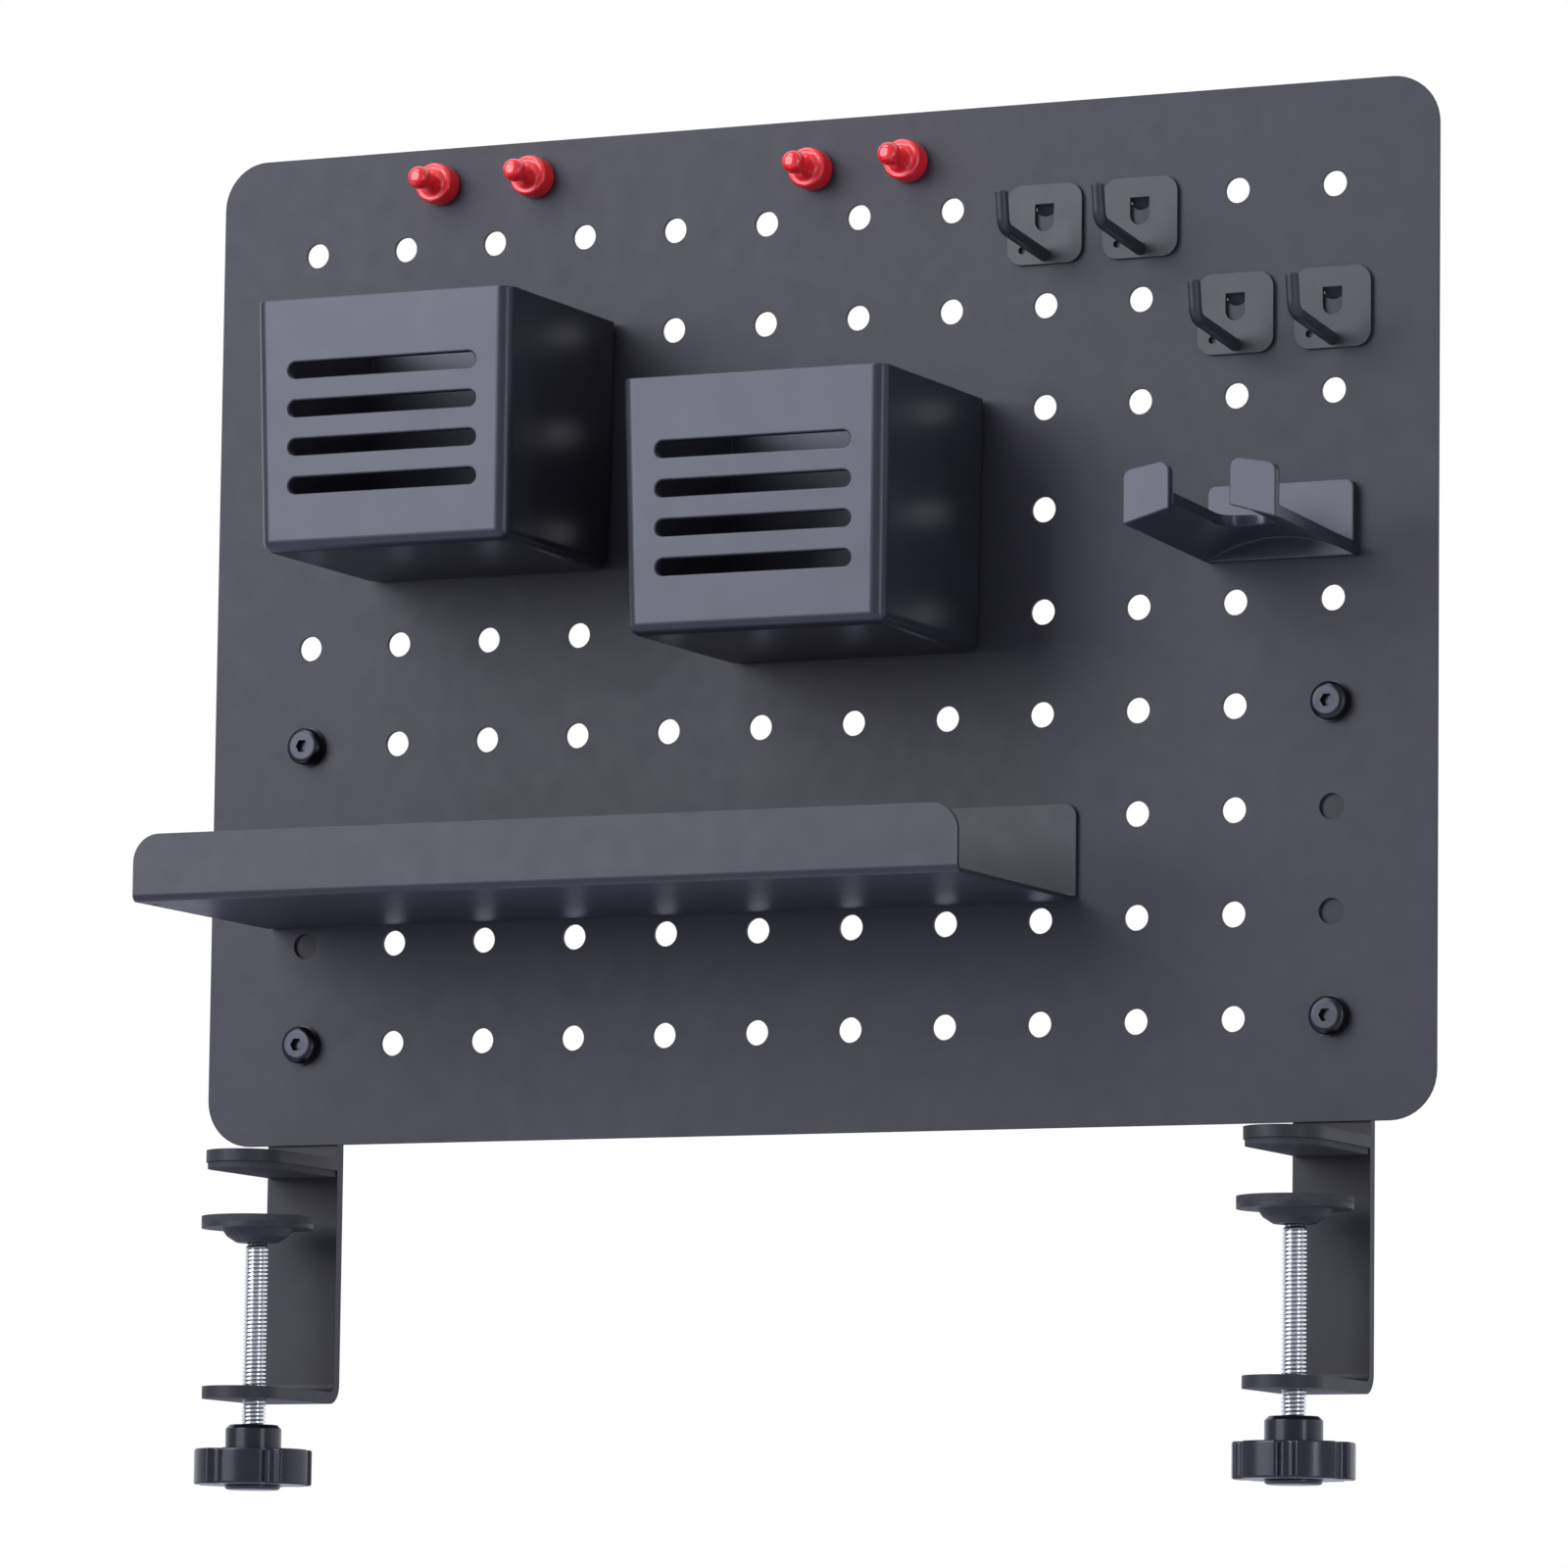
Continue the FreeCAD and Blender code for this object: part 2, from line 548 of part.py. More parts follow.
def build_hook(number, column, row):
    """Square plate with a punched tongue, and the bent rod welded to its front."""
    spot = (column_x(column), "0", row_z(row))
    plate = new_body(f"hook_plate_{number}", spot)
    front = "-dims.panel_thick - dims.seat_gap - dims.sheet_thick"
    box(plate, "Additive", "square", ("-dims.plate_side / 2", front, "dims.plate_rise - dims.plate_side"),
        ("dims.plate_side", "dims.sheet_thick", "dims.plate_side"))
    dress(plate, "Fillet", "corners", "dims.plate_corner", lambda edge: runs_along(edge, "y"))
    cylinder(plate, "Subtractive", "pinhole", "dims.pinhole_rad", "dims.sheet_thick * 3",
             ("dims.pinhole_x", f"{front} - dims.sheet_thick", "dims.pinhole_z"), ALONG_Y)
    add_tongue(plate, "tongue", "0")

    build_rod(number, spot, front)


def build_rod(number, spot, front):
    """Bent rod: a run that climbs slightly forward, an elbow, and a short upright that leans forward."""
    rod = new_body(f"hook_rod_{number}", spot)
    setback = "dims.rod_bend * tan((dims.rod_lean - dims.rod_climb) / 2)"

    def along_run(distance, rise="0"):
        """Expressions for a point along the run, and above it by rise."""
        return ("0", f"{front} - ({distance}) * cos(dims.rod_climb) + ({rise}) * sin(dims.rod_climb)",
                f"dims.rod_start_z + ({distance}) * sin(dims.rod_climb) + ({rise}) * cos(dims.rod_climb)")

    root = "-dims.sheet_thick"
    run_turn = FreeCAD.Rotation(X_AXIS, 90 - sheet.rod_climb)
    cylinder(rod, "Additive", "run", "dims.rod_rad", f"dims.rod_run - {setback} + dims.sheet_thick",
             along_run(root), run_turn)
    box(rod, "Subtractive", "weld_face", ("-dims.plate_side / 2", front, "-dims.plate_side"),
        ("dims.plate_side", "dims.sheet_thick * 3", "dims.plate_side"))
    climb = math.radians(sheet.rod_climb)
    elbow_turn = FreeCAD.Rotation(FreeCAD.Vector(0, -math.sin(climb), -math.cos(climb)),
                                  FreeCAD.Vector(0, -math.cos(climb), math.sin(climb)), -X_AXIS, "XYZ")
    solid(rod, "AdditiveTorus", "elbow",
          {"Radius1": "dims.rod_bend", "Radius2": "dims.rod_rad", "Angle3": "dims.rod_lean - dims.rod_climb"},
          along_run(f"dims.rod_run - {setback}", "dims.rod_bend"), elbow_turn)
    corner = along_run("dims.rod_run")
    cylinder(rod, "Additive", "upright", "dims.rod_rad", f"dims.rod_rise - {setback}",
             ("0", f"{corner[1]} - {setback} * cos(dims.rod_lean)", f"{corner[2]} + {setback} * sin(dims.rod_lean)"),
             FreeCAD.Rotation(X_AXIS, 90 - sheet.rod_lean))
    doc.recompute()
    tip_z = max(edge.Curve.Center.z for edge in rod.Tip.Shape.Edges if isinstance(edge.Curve, Part.Circle))
    dress(rod, "Chamfer", "tip", "dims.rod_chamfer", lambda edge: is_ring(edge, sheet.rod_rad, {"z": tip_z}))


def build_holder():
    """Forked, arched headphone arm on a back plate; its own origin is between its two peg holes."""
    holder = new_body("headphone_holder", (column_x(10.5), "0", row_z(3)))
    back = "(dims.panel_thick + dims.seat_gap)"
    half = "dims.holder_wide / 2"
    tilt = FreeCAD.Rotation(X_AXIS, 90 - sheet.arch_tilt)
    level = FreeCAD.Rotation(X_AXIS, -sheet.arch_tilt)
    axis_z = "dims.arch_crown - dims.arch_rad"
    cylinder(holder, "Additive", "arch", "dims.arch_rad + dims.arch_thick", f"dims.arch_front - {back}",
             ("0", f"-{back}", axis_z), tilt)
    cylinder(holder, "Subtractive", "under", "dims.arch_rad", "dims.arch_front * 2",
             ("0", f"-{back}", axis_z), tilt)
    span = ("dims.arch_rad * 2", "dims.arch_front * 2", "dims.arch_rad * 4")
    box(holder, "Subtractive", "left", ("-dims.tab_outer - dims.arch_rad * 2", "-dims.arch_front * 1.5",
                                        "-dims.arch_rad * 3"), span)
    box(holder, "Subtractive", "right", ("dims.tab_outer", "-dims.arch_front * 1.5", "-dims.arch_rad * 3"), span)
    box(holder, "Subtractive", "below", ("-dims.arch_rad", "-dims.arch_front * 1.5", "-dims.arch_rad * 3.5"),
        ("dims.arch_rad * 2", "dims.arch_front * 2", "dims.arch_rad * 2.8"), level)
    box(holder, "Subtractive", "notch", ("-dims.notch_rad", "-dims.arch_front * 1.5", "-dims.arch_rad"),
        ("dims.notch_rad * 2", "dims.arch_front * 1.5 - dims.notch_end - dims.notch_rad", "dims.arch_rad * 2"))
    cylinder(holder, "Subtractive", "notch_end", "dims.notch_rad", "dims.arch_rad * 2",
             ("0", "-dims.notch_end - dims.notch_rad", "-dims.arch_rad"))
    for side, sign in SIDES.items():
        turn = FreeCAD.Rotation(Z_AXIS, -90 * sign)
        front_y = "-dims.arch_front" if sign < 0 else "-dims.arch_front + dims.tab_thick"
        solid(holder, "AdditiveWedge", f"tab_{side}", {
            "Xmin": "0", "Xmax": "dims.tab_thick", "X2min": "0", "X2max": "dims.tab_thick",
            "Ymin": "dims.tab_inner", "Ymax": "dims.tab_outer",
            "Zmin": "dims.tab_inner_low", "Zmax": "dims.tab_inner_top",
            "Z2min": "dims.tab_outer_low", "Z2max": "dims.tab_outer_top"}, ("0", front_y, "0"), turn)
    box(holder, "Subtractive", "trim", ("-dims.arch_rad * 2", f"-{back}", "-dims.arch_rad * 2"),
        ("dims.arch_rad * 4", "dims.arch_front", "dims.arch_rad * 3"))
    box(holder, "Additive", "plate", (f"-{half}", f"-{back} - dims.holder_plate_thick",
                                      "dims.holder_plate_rise - dims.holder_plate_tall"),
        ("dims.holder_wide", "dims.holder_plate_thick", "dims.holder_plate_tall"))
    plate_y = -sheet.panel_thick - sheet.seat_gap - sheet.holder_plate_thick / 2
    dress(holder, "Fillet", "plate_corners", "dims.holder_corner",
          lambda edge: runs_along(edge, "y", {"y": plate_y, "z": sheet.holder_plate_rise}))
    tab_y = -sheet.arch_front + sheet.tab_thick / 2
    dress(holder, "Fillet", "tab_corners", "dims.tab_corner",
          lambda edge: runs_along(edge, "y", {"y": tab_y}) and edge.BoundBox.Center.z > -4)
    for side, sign in SIDES.items():
        add_lug(holder, f"lug_{side}", f"{sign} * dims.pitch / 2", "0", "0")


def build_magnet(number, x, z):
    """Push-pin magnet: a waisted plastic grip with a magnet disc set in its base."""
    spot = (str(x), "-dims.panel_thick", str(z))
    grip = new_body(f"magnet_grip_{number}", spot, TOWARDS_FRONT)
    for low, high in zip("abcdef", "bcdefg"):
        cone(grip, f"ring_{low}", (f"dims.pin_rad_{low}", f"dims.pin_rad_{high}"),
             f"dims.pin_out_{high} - dims.pin_out_{low}", ("0", "0", f"dims.pin_out_{low}"))
    cylinder(grip, "Subtractive", "pocket", "dims.disc_rad", "dims.disc_thick * 2", ("0", "0", "-dims.disc_thick"))
    disc = new_body(f"magnet_disc_{number}", spot, TOWARDS_FRONT)
    cylinder(disc, "Additive", "disc", "dims.disc_rad", "dims.disc_thick", ("0", "0", "0"))


def check_and_write():
    """Stops on any failed object or bad shape, then writes one STEP file for each sub-part."""
    doc.recompute()
    for made in doc.Objects:
        if "Invalid" in made.State or "Error" in made.State:
            raise RuntimeError(f"{made.Name}: {made.State}")
    for made in parts:
        shape = made.Shape
        if shape.isNull() or not shape.isValid() or not shape.Solids:
            raise RuntimeError(f"{made.Label}: bad shape")
        print(f"{made.Label}: {len(shape.Solids)} solid(s), {shape.Volume:.1f} mm3")
    os.makedirs("parts", exist_ok=True)
    for made in parts:
        made.Shape.exportStep(f"parts/{made.Label}.step")


build_panel()
for clamp_side in SIDES:
    build_clamp(clamp_side)
build_fasteners()
build_bin("bin_left", 2, 1)
build_bin("bin_right", 6, 2)
build_shelf()
for hook_number, (hook_column, hook_row) in enumerate(((8, 0), (9, 0), (10, 1), (11, 1)), start=1):
    build_hook(hook_number, hook_column, hook_row)
build_holder()
for pin_number, (pin_x, pin_z) in enumerate(((-104.4, 252.6), (-77.5, 252.7), (0.2, 249.4), (26.2, 249.7)), start=1):
    build_magnet(pin_number, pin_x, pin_z)
check_and_write()
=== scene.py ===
"""Looks of the pegboard tool wall: materials, clamp threads, push pins, floor, lights and camera. Metres."""
import bpy
import math
from mathutils import Matrix, Vector


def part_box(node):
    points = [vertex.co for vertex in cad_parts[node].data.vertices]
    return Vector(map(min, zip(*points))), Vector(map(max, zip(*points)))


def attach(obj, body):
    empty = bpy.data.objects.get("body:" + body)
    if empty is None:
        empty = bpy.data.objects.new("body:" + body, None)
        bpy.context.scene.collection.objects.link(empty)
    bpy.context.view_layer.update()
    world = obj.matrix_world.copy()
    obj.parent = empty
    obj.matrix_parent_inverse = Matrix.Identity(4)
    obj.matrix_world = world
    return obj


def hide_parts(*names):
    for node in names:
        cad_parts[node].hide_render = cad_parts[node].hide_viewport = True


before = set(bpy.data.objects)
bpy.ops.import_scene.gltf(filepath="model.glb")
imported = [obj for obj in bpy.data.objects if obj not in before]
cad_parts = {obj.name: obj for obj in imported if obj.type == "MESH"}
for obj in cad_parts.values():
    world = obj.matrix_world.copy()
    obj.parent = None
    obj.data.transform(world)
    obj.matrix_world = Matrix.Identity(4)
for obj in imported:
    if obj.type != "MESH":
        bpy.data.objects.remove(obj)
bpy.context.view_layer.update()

MM = 0.001
SIDES = ("left", "right")
SCREW_RAD = 3.0 * MM
THREAD_PITCH = 1.0 * MM
# height of the thread over its core, as a share of the pitch
THREAD_DEPTH = 0.61
TURN_STEPS = 40
LATHE_STEPS = 48
# the faint blue of the lights and of the highlights on plastic
COOL = (0.90, 0.91, 1.0)

# how the names of the nodes start that get each material
FINISHES = {
    "panel_coat": ["pegboard_panel"],
    "shelf_coat": ["shelf"],
    "clamp_coat": ["clamp_bracket_", "upper_arm_", "pressure_plate_"],
    "hook_coat": ["hook_plate_", "hook_rod_"],
    "black_screw": ["panel_screws", "panel_washers"],
    "bin_plastic": ["bin_"],
    "holder_plastic": ["headphone_holder"],
    "knob_plastic": ["knob_"],
    "rubber_pad": ["upper_pad_", "pressure_pad_"],
    "magnet_metal": ["magnet_disc_"],
}

# radius in mm and distance from the panel in mm along a push pin
PIN_PROFILE = [
    (4.9, 0.0), (5.3, 0.4), (5.28, 2.4), (5.15, 4.4), (4.85, 5.1), (4.4, 5.35), (3.9, 5.25), (3.3, 5.5),
    (2.75, 6.3), (2.35, 7.5), (2.2, 8.7), (2.45, 10.0), (2.8, 11.2), (2.88, 12.4), (2.5, 13.7), (1.5, 14.6),
    (0.0, 14.8)]


def new_material(name, color, roughness, metallic=0.0, specular=0.5, tint=(1.0, 1.0, 1.0)):
    """A principled material and its node tree."""
    material = bpy.data.materials.new(name)
    material.use_nodes = True
    shader = material.node_tree.nodes["Principled BSDF"]
    shader.inputs["Base Color"].default_value = (*color, 1.0)
    shader.inputs["Roughness"].default_value = roughness
    shader.inputs["Metallic"].default_value = metallic
    shader.inputs["Specular IOR Level"].default_value = specular
    shader.inputs["Specular Tint"].default_value = (*tint, 1.0)
    return material, material.node_tree, shader


def noise(tree, grain, detail=2.0):
    """Noise whose grains are about grain metres across, in the object's own space."""
    place = tree.nodes.new("ShaderNodeTexCoord")
    texture = tree.nodes.new("ShaderNodeTexNoise")
    texture.inputs["Scale"].default_value = 1.0 / grain
    texture.inputs["Detail"].default_value = detail
    tree.links.new(place.outputs["Object"], texture.inputs["Vector"])
    return texture.outputs["Fac"]


def add_bump(tree, shader, grain, height, edge=0.2 * MM):
    """Small relief over slightly rounded edges: grain, height and edge radius in metres."""
    rounded = tree.nodes.new("ShaderNodeBevel")
    rounded.samples = 6
    rounded.inputs["Radius"].default_value = edge
    bump = tree.nodes.new("ShaderNodeBump")
    bump.inputs["Distance"].default_value = height
    bump.inputs["Strength"].default_value = 1.0
    tree.links.new(noise(tree, grain), bump.inputs["Height"])
    tree.links.new(rounded.outputs["Normal"], bump.inputs["Normal"])
    tree.links.new(bump.outputs["Normal"], shader.inputs["Normal"])


def vary_color(tree, shader, grain, dark, light):
    """Mottles the base colour between two tones."""
    ramp = tree.nodes.new("ShaderNodeValToRGB")
    ramp.color_ramp.elements[0].position = 0.3
    ramp.color_ramp.elements[0].color = (*dark, 1.0)
    ramp.color_ramp.elements[1].position = 0.7
    ramp.color_ramp.elements[1].color = (*light, 1.0)
    tree.links.new(noise(tree, grain, 3.0), ramp.inputs["Fac"])
    tree.links.new(ramp.outputs["Color"], shader.inputs["Base Color"])


def vary_roughness(tree, shader, grain, low, high):
    """Lets the gloss wander between two roughness values."""
    spread = tree.nodes.new("ShaderNodeMapRange")
    spread.inputs["To Min"].default_value = low
    spread.inputs["To Max"].default_value = high
    tree.links.new(noise(tree, grain), spread.inputs["Value"])
    tree.links.new(spread.outputs["Result"], shader.inputs["Roughness"])


def shade(color, factor):
    return tuple(channel * factor for channel in color)


def powder_coat(name, color, roughness, grain=0.45 * MM, height=0.012 * MM):
    """Baked powder paint: a fine pebble relief, fine speckle and a slightly uneven gloss."""
    material, tree, shader = new_material(name, color, roughness, specular=0.42)
    vary_color(tree, shader, 0.35 * MM, shade(color, 0.86), shade(color, 1.14))
    vary_roughness(tree, shader, 6.0 * MM, roughness - 0.05, roughness + 0.05)
    add_bump(tree, shader, grain, height)
    return material


def moulded_plastic(name, color, roughness, edge=0.35 * MM):
    """Injection-moulded plastic: smooth satin with a faint flow unevenness."""
    material, tree, shader = new_material(name, color, roughness, specular=0.58, tint=COOL)
    vary_color(tree, shader, 9.0 * MM, shade(color, 0.92), shade(color, 1.08))
    vary_roughness(tree, shader, 12.0 * MM, roughness - 0.05, roughness + 0.05)
    add_bump(tree, shader, 0.8 * MM, 0.003 * MM, edge)
    return material


def metal(name, color, roughness, grain, height):
    """Plated steel with faint scratches and an uneven gloss."""
    material, tree, shader = new_material(name, color, roughness, metallic=1.0)
    vary_color(tree, shader, 2.0 * MM, shade(color, 0.9), shade(color, 1.08))
    vary_roughness(tree, shader, 1.5 * MM, roughness - 0.04, roughness + 0.06)
    add_bump(tree, shader, grain, height, edge=0.06 * MM)
    return material


def paint_groove_shade(tree, shader, color, bottom, crest):
    """Painted shade in the thread roots: darkens the colour from the crest radius in to the bottom radius,
    round the object's own Z axis.
    """
    place = tree.nodes.new("ShaderNodeTexCoord")
    flat = tree.nodes.new("ShaderNodeVectorMath")
    flat.operation = "MULTIPLY"
    flat.inputs[1].default_value = (1.0, 1.0, 0.0)
    radius = tree.nodes.new("ShaderNodeVectorMath")
    radius.operation = "LENGTH"
    spread = tree.nodes.new("ShaderNodeMapRange")
    spread.inputs["From Min"].default_value = bottom
    spread.inputs["From Max"].default_value = crest
    ramp = tree.nodes.new("ShaderNodeValToRGB")
    # painted shade: the thread roots get 40 per cent of the colour
    ramp.color_ramp.elements[0].color = (*shade(color, 0.40), 1.0)
    ramp.color_ramp.elements[1].color = (*color, 1.0)
    tree.links.new(place.outputs["Object"], flat.inputs[0])
    tree.links.new(flat.outputs["Vector"], radius.inputs[0])
    tree.links.new(radius.outputs["Value"], spread.inputs["Value"])
    tree.links.new(spread.outputs["Result"], ramp.inputs["Fac"])
    tree.links.new(ramp.outputs["Color"], shader.inputs["Base Color"])


def zinc_plating(name, color, roughness):
    """Bright zinc of the clamp screws, with painted shade darkening the thread roots."""
    crest_depth = 0.25 * MM
    material, tree, shader = new_material(name, color, roughness, metallic=1.0)
    vary_roughness(tree, shader, 1.5 * MM, roughness - 0.04, roughness + 0.06)
    # painted shade in the thread roots, from the root radius out to just under the crest
    paint_groove_shade(tree, shader, color, SCREW_RAD - THREAD_DEPTH * THREAD_PITCH, SCREW_RAD - crest_depth)
    return material


def rubber(name, color):
    """Matte black rubber with a fine grain."""
    material, tree, shader = new_material(name, color, 0.75, specular=0.35)
    vary_color(tree, shader, 1.2 * MM, shade(color, 0.8), shade(color, 1.25))
    add_bump(tree, shader, 0.3 * MM, 0.02 * MM)
    return material


def red_plastic(name):
    """Glossy translucent-looking red of a push pin."""
    color = (0.82, 0.012, 0.020)
    material, tree, shader = new_material(name, color, 0.35, specular=0.2)
    vary_color(tree, shader, 3.0 * MM, shade(color, 0.9), shade(color, 1.1))
    add_bump(tree, shader, 1.5 * MM, 0.004 * MM)
    shader.inputs["Coat Weight"].default_value = 1.0
    shader.inputs["Coat Roughness"].default_value = 0.03
    shader.inputs["Coat IOR"].default_value = 1.6
    shader.inputs["Subsurface Weight"].default_value = 0.05
    shader.inputs["Subsurface Radius"].default_value = (0.002, 0.0004, 0.0004)
    return material


def make_materials():
    return {
        "panel_coat": powder_coat("panel_coat", (0.027, 0.026, 0.036), 0.50),
        "shelf_coat": powder_coat("shelf_coat", (0.024, 0.024, 0.033), 0.40),
        "clamp_coat": powder_coat("clamp_coat", (0.018, 0.018, 0.024), 0.50),
        "hook_coat": powder_coat("hook_coat", (0.027, 0.027, 0.034), 0.36, 0.6 * MM, 0.008 * MM),
        "black_screw": metal("black_screw", (0.044, 0.044, 0.052), 0.30, 0.5 * MM, 0.004 * MM),
        "zinc_screw": zinc_plating("zinc_screw", (0.95, 0.965, 0.985), 0.24),
        "bin_plastic": moulded_plastic("bin_plastic", (0.021, 0.021, 0.029), 0.31),
        "holder_plastic": moulded_plastic("holder_plastic", (0.020, 0.020, 0.028), 0.25, 0.6 * MM),
        "knob_plastic": moulded_plastic("knob_plastic", (0.011, 0.011, 0.016), 0.24),
        "rubber_pad": rubber("rubber_pad", (0.036, 0.036, 0.042)),
        "red_plastic": red_plastic("red_plastic"),
        "magnet_metal": metal("magnet_metal", (0.65, 0.65, 0.66), 0.2, 1.0 * MM, 0.002 * MM),
    }


def dress_nodes(materials):
    """Gives every CAD node that shows its material."""
    for name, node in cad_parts.items():
        finish = next((key for key, starts in FINISHES.items() if name.startswith(tuple(starts))), None)
        if finish:
            node.data.materials.clear()
            node.data.materials.append(materials[finish])


def mesh_object(name, points, faces, material):
    mesh = bpy.data.meshes.new(name)
    mesh.from_pydata(points, [], faces)
    mesh.validate()
    mesh.materials.append(material)
    made = bpy.data.objects.new(name, mesh)
    bpy.context.scene.collection.objects.link(made)
    mesh.polygons.foreach_set("use_smooth", [True] * len(mesh.polygons))
    return made


def smooth_profile(profile, steps=5):
    """Catmull-Rom curve through a short list of profile points."""
    ends = [profile[0], *profile, profile[-1]]
    points = []
    for a, b, c, d in zip(ends, ends[1:], ends[2:], ends[3:]):
        for step in range(steps):
            u = step / steps
            points.append(tuple(
                0.5 * (2 * q + (r - p) * u + (2 * p - 5 * q + 4 * r - s) * u * u
                       + (3 * q - p - 3 * r + s) * u ** 3)
                for p, q, r, s in zip(a, b, c, d)))
    return [(max(radius, 0.0), along) for radius, along in points] + [profile[-1]]


def lathe(name, profile, material):
    """Turns (radius, height) points round the Z axis."""
    points = []
    faces = []
    for radius, height in profile:
        for step in range(LATHE_STEPS):
            angle = math.tau * step / LATHE_STEPS
            points.append((radius * math.cos(angle), radius * math.sin(angle), height))
    for ring in range(len(profile) - 1):
        for step in range(LATHE_STEPS):
            after = (step + 1) % LATHE_STEPS
            low, high = ring * LATHE_STEPS, (ring + 1) * LATHE_STEPS
            faces.append((low + step, low + after, high + after, high + step))
    faces.append(tuple(reversed(range(LATHE_STEPS))))
    return mesh_object(name, points, faces, material)


def push_pins(materials):
    """Smoothly turned grips in place of the plain stepped ones."""
    for number in range(1, 5):
        node = f"magnet_grip_{number}"
        low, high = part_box(node)
        profile = [(radius * MM, along * MM) for radius, along in smooth_profile(PIN_PROFILE)]
        pin = lathe(f"push_pin_{number}", profile, materials["red_plastic"])
        # turned so that its axis, +Z, points to the front
        centre = Vector(((low.x + high.x) / 2, high.y, (low.z + high.z) / 2))
        pin.matrix_world = Matrix.Translation(centre) @ Matrix.Rotation(math.radians(90), 4, "X")
        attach(pin, f"magnet_{number}")
        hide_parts(node)


def thread_points(low, high, major, pitch):
    """Points and faces of a screw thread that fades out at both heights."""
    minor = major - THREAD_DEPTH * pitch
    # one tooth in section: radius, and height as a share of the pitch
    root_end, crest_start, crest_end = 0.12, 0.38, 0.76
    tooth = [(minor, 0.0), (minor, root_end), (major, crest_start), (major, crest_end)]
    turns = int((high - low) / pitch) + 2
    count = turns * TURN_STEPS
    points = []
    for step in range(count + TURN_STEPS):
        angle = math.tau * step / TURN_STEPS
        for radius, rise in tooth:
            height = low - pitch + pitch * (step / TURN_STEPS + rise)
            fade = min(1.0, max(0.0, (high - height) / pitch), max(0.0, (height - low) / pitch))
            reach = minor + (radius - minor) * fade
            height = min(max(height, low), high)
            points.append((reach * math.cos(angle), reach * math.sin(angle), height))
    faces = []
    size = len(tooth)
    for step in range(count - 1):
        for row in range(size):
            here = step * size + row
            above = here + 1 if row < size - 1 else (step + TURN_STEPS) * size
            faces.append((here, here + size, above + size, above))
    return points, faces


def clamp_screws(materials):
    """Bright screws with real M6 helices in place of the plain cylinders."""
    neck, neck_taper, plate_gap = 2.3 * MM, 0.2 * MM, 0.3 * MM
    button_height, low_chamfer, top_chamfer = 2.2 * MM, 0.4 * MM, 0.6 * MM
    for side in SIDES:
        node = f"clamp_screw_{side}"
        low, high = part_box(node)
        plate_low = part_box(f"pressure_plate_{side}")[0]
        button = (high.x - low.x) / 2
        shoulder = plate_low.z - plate_gap
        button_low = high.z - button_height
        points, faces = thread_points(low.z, shoulder, SCREW_RAD, THREAD_PITCH)
        thread = mesh_object(f"screw_thread_{side}", points, faces, materials["zinc_screw"])
        thread.data.set_sharp_from_angle(angle=math.radians(30))
        core = SCREW_RAD - THREAD_DEPTH * THREAD_PITCH
        top = lathe(f"screw_top_{side}", [
            (core, low.z), (core, shoulder), (neck, shoulder + neck_taper), (neck, button_low),
            (button - low_chamfer, button_low), (button, button_low + low_chamfer),
            (button, high.z - top_chamfer), (button - top_chamfer, high.z), (0.0, high.z)],
            materials["zinc_screw"])
        centre = Vector(((low.x + high.x) / 2, (low.y + high.y) / 2, 0))
        for piece in (thread, top):
            piece.location = centre
            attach(piece, f"screw_{side}")
            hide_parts(node)


def make_floor():
    """Pale floor far below the clamps, as if the desk they hold stood on it."""
    half = 12.0
    level = -1.2
    material = new_material("floor_paint", (0.78, 0.78, 0.90), 0.9, specular=0.1)[0]
    corners = [(-half, -half, level), (half, -half, level), (half, half, level), (-half, half, level)]
    floor = mesh_object("floor", corners, [(0, 1, 2, 3)], material)


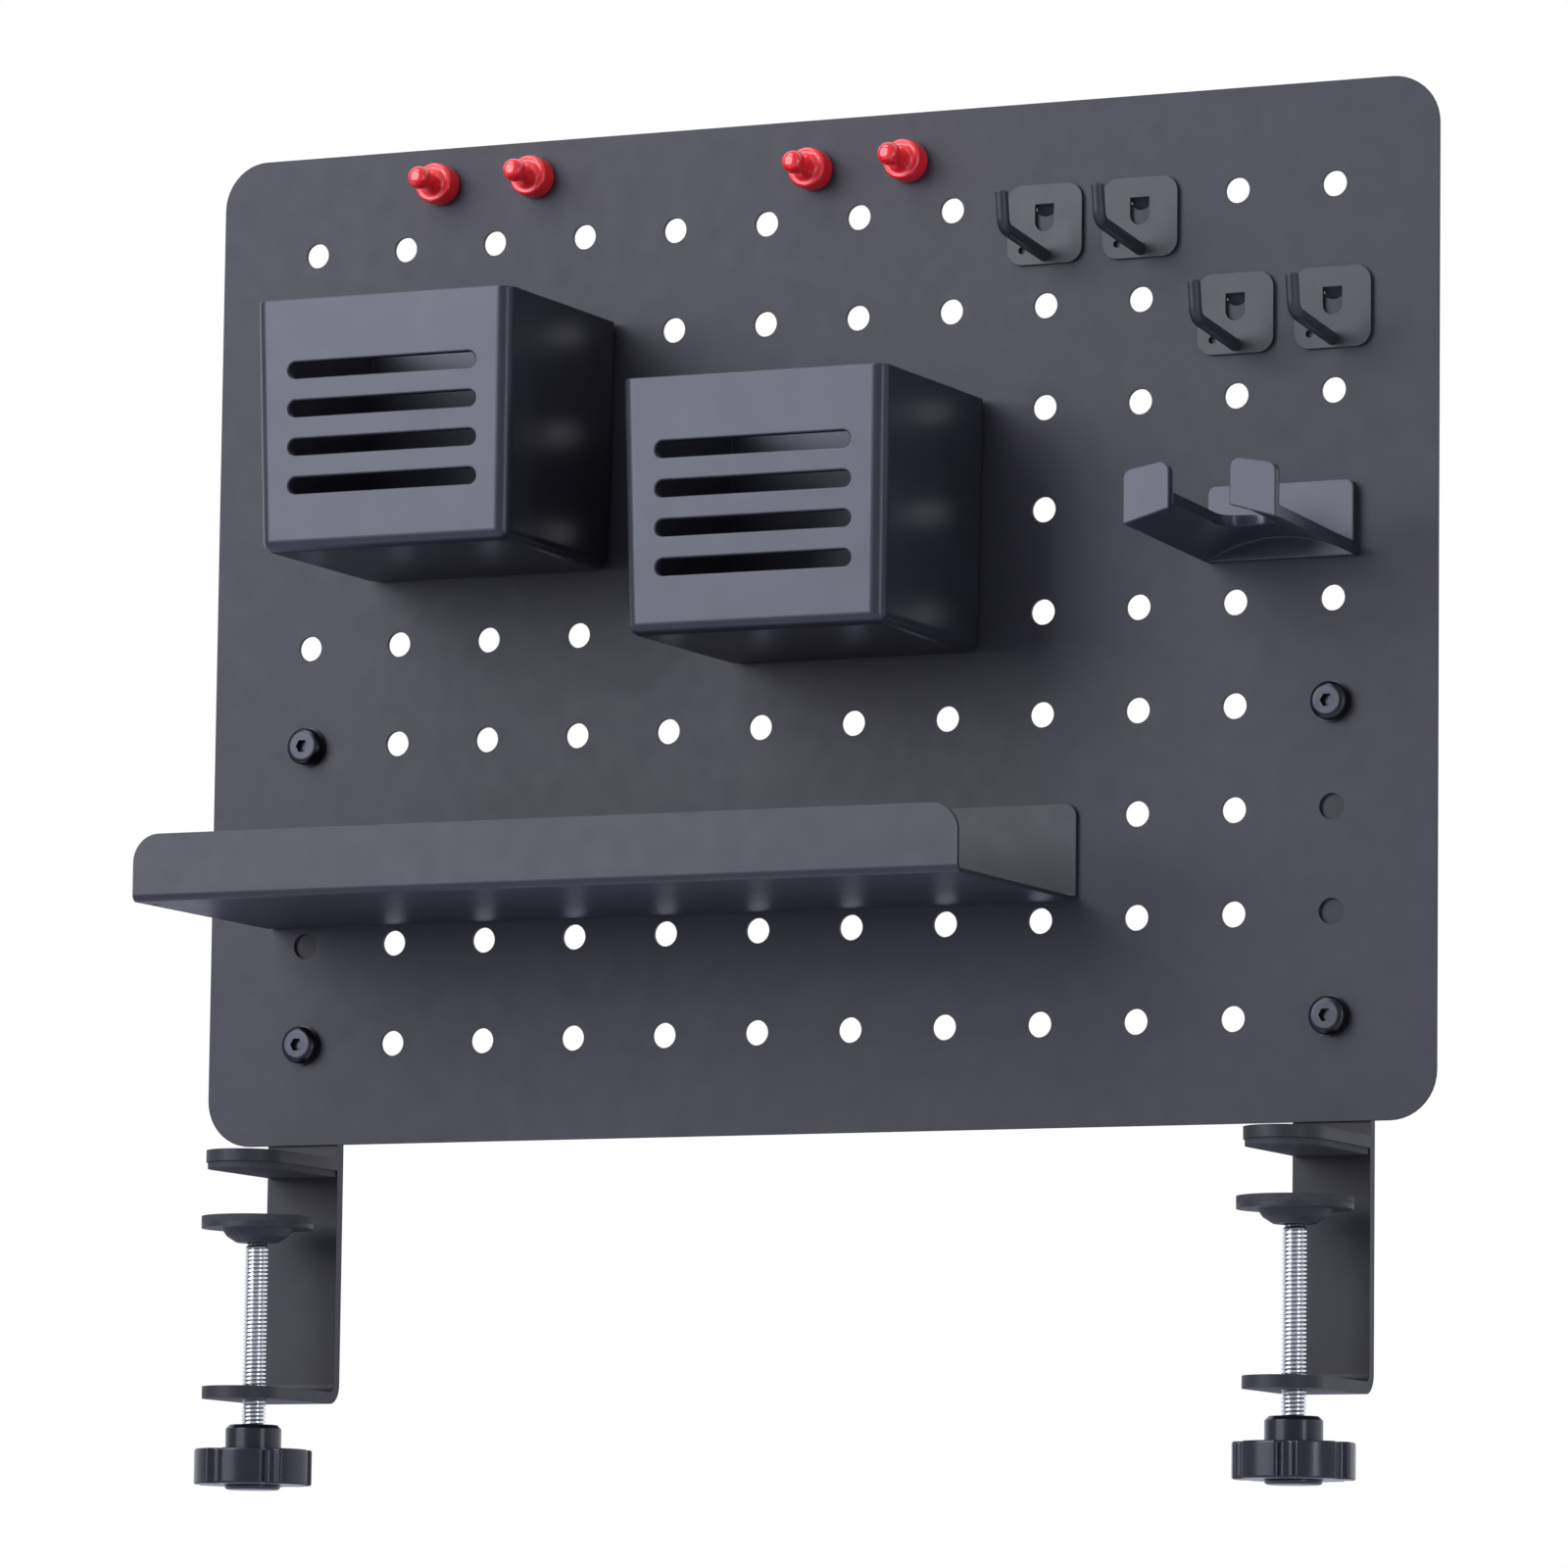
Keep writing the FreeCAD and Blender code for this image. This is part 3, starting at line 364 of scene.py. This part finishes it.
def make_world():
    """White to the camera; as a light it is cool, bright behind the wall and dimmer in front of it."""
    front_strength, back_strength = 0.42, 1.0
    world = bpy.data.worlds.new("studio")
    bpy.context.scene.world = world
    world.use_nodes = True
    nodes, links = world.node_tree.nodes, world.node_tree.links
    seen = nodes["Background"]
    seen.inputs["Color"].default_value = (1.0, 1.0, 1.0, 1.0)
    fill = nodes.new("ShaderNodeBackground")
    fill.inputs["Color"].default_value = (*COOL, 1.0)
    place = nodes.new("ShaderNodeTexCoord")
    split = nodes.new("ShaderNodeSeparateXYZ")
    spread = nodes.new("ShaderNodeMapRange")
    spread.inputs["From Min"].default_value = -0.2
    spread.inputs["From Max"].default_value = 0.4
    spread.inputs["To Min"].default_value = front_strength
    spread.inputs["To Max"].default_value = back_strength
    rays = nodes.new("ShaderNodeLightPath")
    pick = nodes.new("ShaderNodeMixShader")
    links.new(place.outputs["Generated"], split.inputs[0])
    links.new(split.outputs["Y"], spread.inputs["Value"])
    links.new(spread.outputs["Result"], fill.inputs["Strength"])
    links.new(rays.outputs["Is Camera Ray"], pick.inputs[0])
    links.new(fill.outputs[0], pick.inputs[1])
    links.new(seen.outputs[0], pick.inputs[2])
    links.new(pick.outputs[0], nodes["World Output"].inputs["Surface"])


def softbox(name, aim, azimuth, elevation, distance, width, height, power):
    """Rectangular soft light of power watts; azimuth 0 is straight in front, positive to the right."""
    turn, lift = math.radians(azimuth), math.radians(elevation)
    back = Vector((math.sin(turn) * math.cos(lift), -math.cos(turn) * math.cos(lift), math.sin(lift)))
    light = bpy.data.lights.new(name, "AREA")
    light.shape = "RECTANGLE"
    light.size, light.size_y = width, height
    light.energy = power
    light.color = COOL
    lamp = bpy.data.objects.new(name, light)
    lamp.location = aim + back * distance
    lamp.rotation_mode = "QUATERNION"
    lamp.rotation_quaternion = (-back).to_track_quat("-Z", "Y")
    bpy.context.scene.collection.objects.link(lamp)


def make_lights():
    low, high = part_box("pegboard_panel")
    aim = (low + high) / 2
    softbox("key_light", aim, azimuth=-31, elevation=15, distance=1.7, width=1.1, height=1.1, power=19.4)
    softbox("top_light", aim, azimuth=-32, elevation=54, distance=2.0, width=1.2, height=0.9, power=16.5)
    softbox("strip_light", aim, azimuth=64, elevation=-2, distance=2.2, width=0.16, height=1.5, power=7)


def make_camera():
    """Long lens, from the right and a little below, looking up."""
    camera = bpy.data.cameras.new("camera")
    camera.sensor_width = 36.0
    camera.lens = 200.95
    camera.clip_end = 60.0
    azimuth, rise, roll = math.radians(25.0), math.radians(6.68), math.radians(0.70)
    made = bpy.data.objects.new("camera", camera)
    swing = Matrix.Rotation(azimuth, 4, "Z")
    lift = Matrix.Rotation(math.pi / 2 + rise, 4, "X")
    lean = Matrix.Rotation(roll, 4, "Z")
    place = Matrix.Translation((0.9057, -1.9561, -0.1574))
    made.matrix_world = place @ (swing @ lift @ lean)
    bpy.context.scene.collection.objects.link(made)
    bpy.context.scene.camera = made


make_camera()
make_world()
make_lights()
make_floor()
all_materials = make_materials()
dress_nodes(all_materials)
push_pins(all_materials)
clamp_screws(all_materials)
bpy.context.scene.view_settings.view_transform = "Standard"
bpy.context.view_layer.update()
